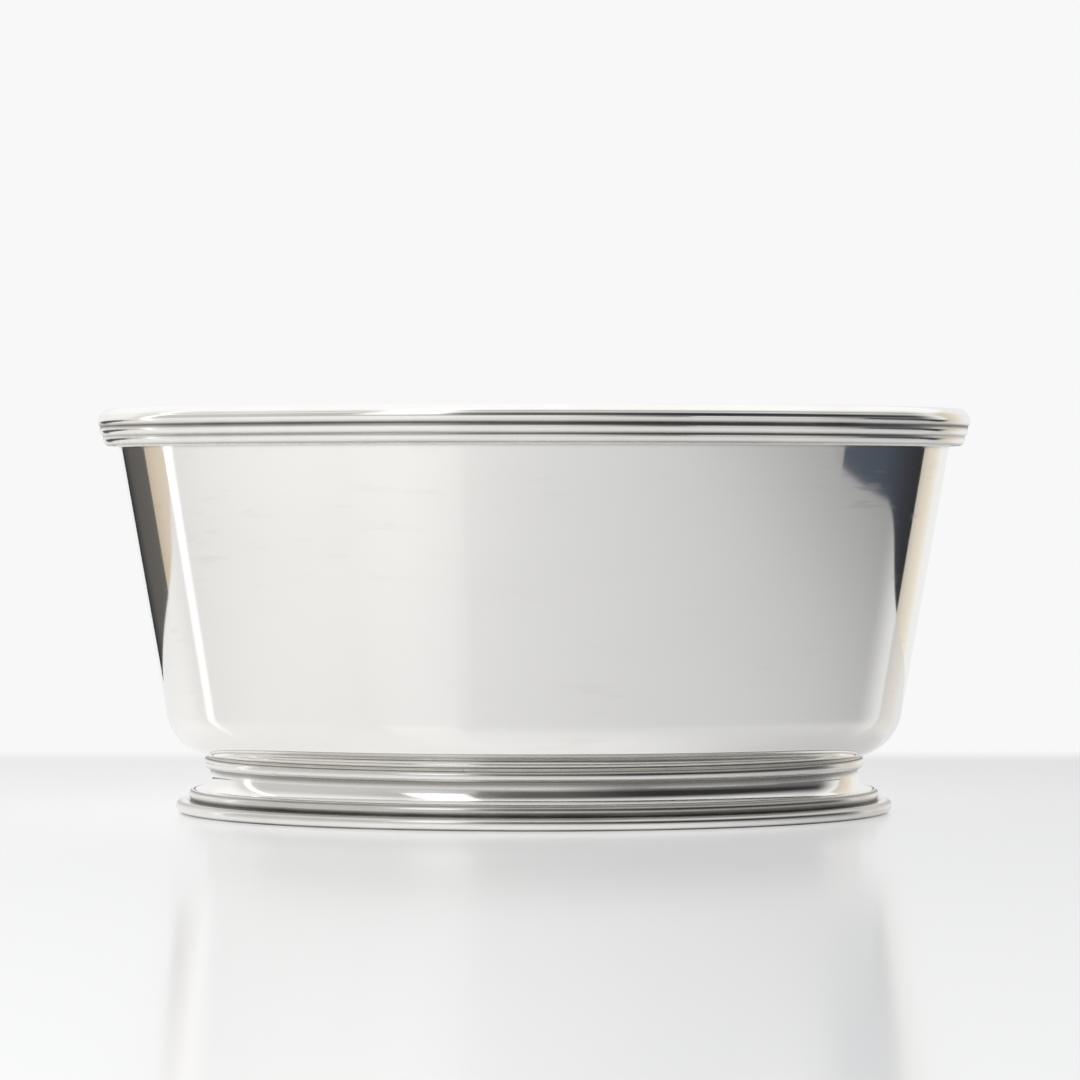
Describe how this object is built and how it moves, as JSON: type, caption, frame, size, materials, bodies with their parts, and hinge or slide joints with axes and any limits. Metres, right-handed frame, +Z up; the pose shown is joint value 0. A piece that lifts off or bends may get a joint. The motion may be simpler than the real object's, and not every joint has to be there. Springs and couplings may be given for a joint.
{
  "type": "footed bowl",
  "caption": "Round polished silver bowl with a straight flaring wall, a reeded rim moulding and a stepped moulded foot, for serving or display.",
  "frame": {"origin": "on the bowl's axis, at the surface that the bowl stands on", "axes": "+Z up along the bowl's axis; the bowl is round, so X and Y are any two level directions"},
  "size_m": [0.2286, 0.2286, 0.1054],
  "materials": {
    "silver_sheet": "mirror-polished silver with fine rubbing marks",
    "silver_moulding": "hand-polished silver, greyer in its grooves",
    "silver_solder": "satin silver solder"
  },
  "bodies": {
    "root": {"bowl_body": "silver_sheet", "rim_moulding": "silver_moulding", "rim_solder_seam": "silver_solder", "foot_collet_wire": "silver_moulding", "collet_solder_seam": "silver_solder", "foot_ring": "silver_sheet", "foot_solder_seam": "silver_solder", "foot_base_moulding": "silver_moulding", "base_solder_seam": "silver_solder"}
  },
  "joints": []
}
